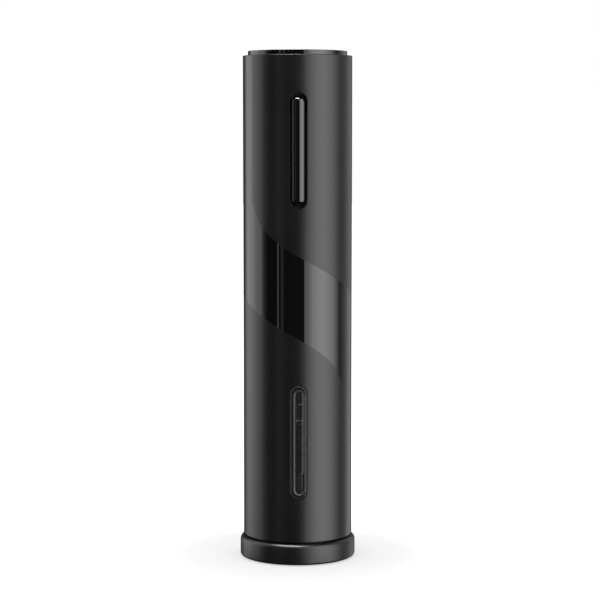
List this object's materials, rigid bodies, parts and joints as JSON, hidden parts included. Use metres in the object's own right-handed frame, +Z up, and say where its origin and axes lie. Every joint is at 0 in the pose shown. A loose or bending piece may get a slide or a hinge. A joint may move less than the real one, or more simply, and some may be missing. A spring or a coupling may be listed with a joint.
{
  "type": "electric wine opener",
  "caption": "Slim upright cordless wine opener: a rocker button drives a geared motor and worm, with a cork window, a twist-off battery cap and a pull-off foil cutter base.",
  "frame": {"origin": "centre of the underside, on the surface the opener stands on", "axes": "+Z up along the body and the worm, the button and window face -Y, +X to the right seen from the front"},
  "size_m": [0.051, 0.051, 0.2235],
  "materials": {
    "soft_black": "soft-touch matte paint with a glossy band left bare across the middle",
    "gloss_black": "polished",
    "base_black": "satin",
    "inner_black": "moulded",
    "smoke_clear": "smoky clear, polished",
    "rubber_black": "matte",
    "gear_white": "moulded acetal",
    "steel": "bright",
    "motor_zinc": "zinc plated",
    "bronze": "sintered bronze",
    "copper": "enamelled winding",
    "board_green": "solder mask",
    "cell_jacket": "printed sleeve without marks",
    "wire_red": "insulated wire"
  },
  "bodies": {
    "housing": {"body_tube": "soft_black", "window_lens": "smoke_clear", "bottle_guide": "inner_black", "lip_seat": "rubber_black", "cork_sleeve": "inner_black", "frame_left": "inner_black", "frame_right": "inner_black", "gearbox_cover": "inner_black", "output_bush": "bronze", "ring_gear": "gear_white", "motor_plate": "inner_black", "motor_screw_1": "steel", "motor_screw_2": "steel", "motor_can": "motor_zinc", "motor_end_cap": "inner_black", "battery_holder": "inner_black", "contact_board": "board_green", "cell_spring_1": "steel", "cell_spring_2": "steel", "cell_1": "cell_jacket", "cell_2": "cell_jacket", "cell_3": "cell_jacket", "cell_4": "cell_jacket", "cap_lock_ring": "inner_black", "switch_board": "board_green", "switch_upper": "inner_black", "switch_lower": "inner_black", "button_cradle": "inner_black", "rocker_pin": "steel", "motor_wire_red": "wire_red", "motor_wire_black": "rubber_black"},
    "rocker": {"rocker_button": "gloss_black"},
    "cap": {"battery_cap": "gloss_black", "cap_seal": "rubber_black", "cap_contact": "bronze"},
    "foil_cutter": {"foil_cutter_ring": "base_black", "foil_cutter_cover": "base_black", "foot_pad": "rubber_black", "wheel_pin_1": "steel", "wheel_pin_2": "steel", "wheel_pin_3": "steel", "wheel_pin_4": "steel"},
    "rotor": {"motor_shaft": "steel", "motor_armature": "copper", "motor_pinion": "steel"},
    "stage": {"stage_carrier": "gear_white"},
    "drive": {"output_carrier": "gear_white", "worm_hub": "motor_zinc", "worm": "steel"},
    "wheel_1": {"cutting_wheel_1": "steel"},
    "wheel_2": {"cutting_wheel_2": "steel"},
    "wheel_3": {"cutting_wheel_3": "steel"},
    "wheel_4": {"cutting_wheel_4": "steel"},
    "planet_1_a_gear": {"planet_1_a": "gear_white"},
    "planet_1_b_gear": {"planet_1_b": "gear_white"},
    "planet_1_c_gear": {"planet_1_c": "gear_white"},
    "planet_2_a_gear": {"planet_2_a": "gear_white"},
    "planet_2_b_gear": {"planet_2_b": "gear_white"},
    "planet_2_c_gear": {"planet_2_c": "gear_white"}
  },
  "joints": [
    {"name": "rocker_tilt", "type": "hinge", "parent": "housing", "child": "rocker", "pos_m": [0, -0.0186, 0.1802], "axis": [1, 0, 0], "range_deg": [-2.5, 2.5], "stiffness_Nm_per_rad": 0.8},
    {"name": "cap_twist", "type": "hinge", "parent": "housing", "child": "cap", "pos_m": [0, 0, 0.2186], "axis": [0, 0, 1], "range_deg": [0, 30]},
    {"name": "foil_cutter_pull", "type": "slide", "parent": "housing", "child": "foil_cutter", "axis": [0, 0, -1], "range_m": [0, 0.03]},
    {"name": "motor_spin", "type": "hinge", "parent": "housing", "child": "rotor", "pos_m": [0, 0, 0.14], "axis": [0, 0, 1], "continuous": true},
    {"name": "stage_spin", "type": "hinge", "parent": "housing", "child": "stage", "pos_m": [0, 0, 0.118], "axis": [0, 0, 1], "continuous": true},
    {"name": "worm_spin", "type": "hinge", "parent": "housing", "child": "drive", "pos_m": [0, 0, 0.112], "axis": [0, 0, 1], "continuous": true},
    {"name": "wheel_1_spin", "type": "hinge", "parent": "foil_cutter", "child": "wheel_1", "pos_m": [0.01294, 0.01294, 0.0049], "axis": [0, 0, 1], "continuous": true},
    {"name": "wheel_2_spin", "type": "hinge", "parent": "foil_cutter", "child": "wheel_2", "pos_m": [-0.01294, 0.01294, 0.0049], "axis": [0, 0, 1], "continuous": true},
    {"name": "wheel_3_spin", "type": "hinge", "parent": "foil_cutter", "child": "wheel_3", "pos_m": [-0.01294, -0.01294, 0.0049], "axis": [0, 0, 1], "continuous": true},
    {"name": "wheel_4_spin", "type": "hinge", "parent": "foil_cutter", "child": "wheel_4", "pos_m": [0.01294, -0.01294, 0.0049], "axis": [0, 0, 1], "continuous": true},
    {"name": "planet_1_a_spin", "type": "hinge", "parent": "stage", "child": "planet_1_a_gear", "pos_m": [0.0081, 0, 0.1214], "axis": [0, 0, 1], "continuous": true},
    {"name": "planet_1_b_spin", "type": "hinge", "parent": "stage", "child": "planet_1_b_gear", "pos_m": [-0.00405, 0.00701, 0.1214], "axis": [0, 0, 1], "continuous": true},
    {"name": "planet_1_c_spin", "type": "hinge", "parent": "stage", "child": "planet_1_c_gear", "pos_m": [-0.00405, -0.00701, 0.1214], "axis": [0, 0, 1], "continuous": true},
    {"name": "planet_2_a_spin", "type": "hinge", "parent": "drive", "child": "planet_2_a_gear", "pos_m": [0.0081, 0, 0.115], "axis": [0, 0, 1], "continuous": true},
    {"name": "planet_2_b_spin", "type": "hinge", "parent": "drive", "child": "planet_2_b_gear", "pos_m": [-0.00405, 0.00701, 0.115], "axis": [0, 0, 1], "continuous": true},
    {"name": "planet_2_c_spin", "type": "hinge", "parent": "drive", "child": "planet_2_c_gear", "pos_m": [-0.00405, -0.00701, 0.115], "axis": [0, 0, 1], "continuous": true}
  ],
  "couplings": [
    {"joint": "stage_spin", "follows": "motor_spin", "ratio": 0.16667},
    {"joint": "worm_spin", "follows": "motor_spin", "ratio": 0.027778},
    {"joint": "planet_1_a_spin", "follows": "motor_spin", "ratio": -0.41667},
    {"joint": "planet_1_b_spin", "follows": "motor_spin", "ratio": -0.41667},
    {"joint": "planet_1_c_spin", "follows": "motor_spin", "ratio": -0.41667},
    {"joint": "planet_2_a_spin", "follows": "motor_spin", "ratio": -0.069444},
    {"joint": "planet_2_b_spin", "follows": "motor_spin", "ratio": -0.069444},
    {"joint": "planet_2_c_spin", "follows": "motor_spin", "ratio": -0.069444}
  ]
}
